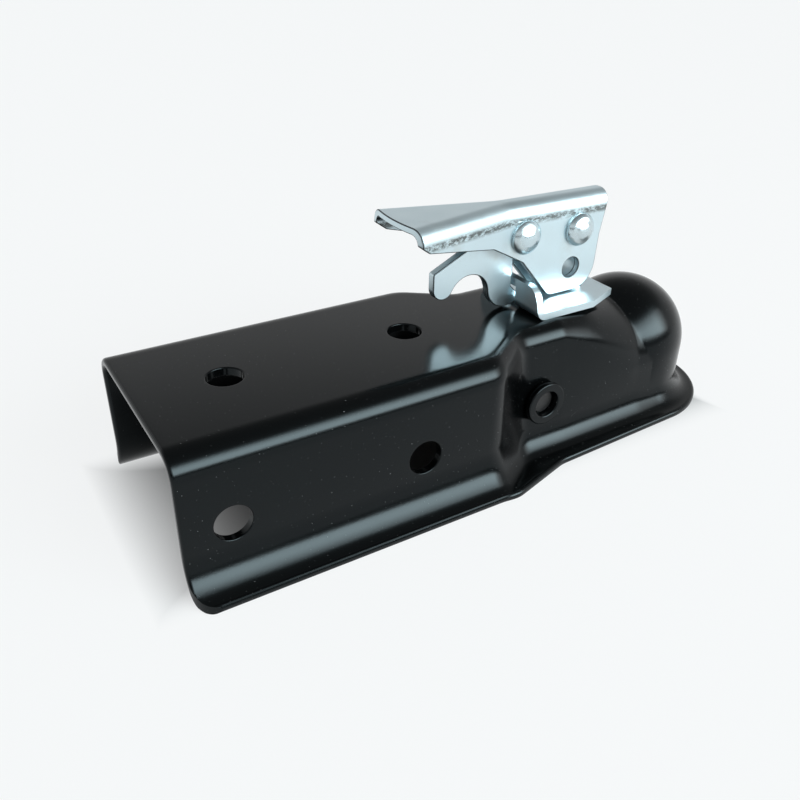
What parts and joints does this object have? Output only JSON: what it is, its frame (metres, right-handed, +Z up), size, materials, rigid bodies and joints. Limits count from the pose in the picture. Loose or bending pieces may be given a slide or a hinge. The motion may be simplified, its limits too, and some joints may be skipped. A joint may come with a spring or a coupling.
{
  "type": "trailer coupling head",
  "caption": "Straight-tongue trailer coupling head: a black pressed channel with a ball dome, closed on the tow ball by a zinc-plated lever with a squeeze trigger.",
  "frame": {"origin": "centre of the tow ball when the head is coupled", "axes": "+X forward, from the trailer's tongue towards the towing vehicle; +Y to the left; +Z up"},
  "size_m": [0.267, 0.1042, 0.1025],
  "materials": {
    "black_paint": "satin-gloss black powder coat on pressed steel",
    "zinc": "bright zinc plate on steel",
    "spring_steel": "oiled spring steel",
    "cast_clamp": "rough cast iron",
    "nylon": "natural nylon"
  },
  "bodies": {
    "housing": {"housing": "black_paint", "left_pin_bush": "black_paint", "right_pin_bush": "black_paint", "clamp_pin": "zinc", "left_pin_clip": "spring_steel", "right_pin_clip": "spring_steel", "latch_plate": "zinc", "clamp_spring": "spring_steel"},
    "draw_bolt": {"draw_bolt": "zinc", "clamp_washer": "zinc", "lock_nut": "zinc", "lock_nut_insert": "nylon"},
    "lever": {"lever": "zinc", "pivot_rivet": "zinc", "trigger_rivet": "zinc", "trigger_spacer": "zinc", "trigger_spring": "spring_steel"},
    "trigger": {"trigger": "zinc"},
    "clamp": {"ball_clamp": "cast_clamp", "spring_seat": "zinc"}
  },
  "joints": [
    {"name": "bolt_slide", "type": "slide", "parent": "housing", "child": "draw_bolt", "axis": [0, 0, -1], "range_m": [0, 0.0044]},
    {"name": "lever_hinge", "type": "hinge", "parent": "draw_bolt", "child": "lever", "pos_m": [-0.0404, 0, 0.0605], "axis": [0, 1, 0], "range_deg": [0, 90]},
    {"name": "trigger_hinge", "type": "hinge", "parent": "lever", "child": "trigger", "pos_m": [-0.0683, 0, 0.0617], "axis": [0, 1, 0], "range_deg": [0, 16], "stiffness_Nm_per_rad": 0.3, "springref_deg": -20.05},
    {"name": "clamp_hinge", "type": "hinge", "parent": "housing", "child": "clamp", "pos_m": [-0.0705, 0, -0.001], "axis": [0, 1, 0], "range_deg": [0, 8.41], "deforming": ["clamp_spring"]}
  ],
  "couplings": [
    {"joint": "bolt_slide", "follows": "lever_hinge", "m_per_rad": 0.0028},
    {"joint": "clamp_hinge", "follows": "lever_hinge", "ratio": 0.0934}
  ]
}
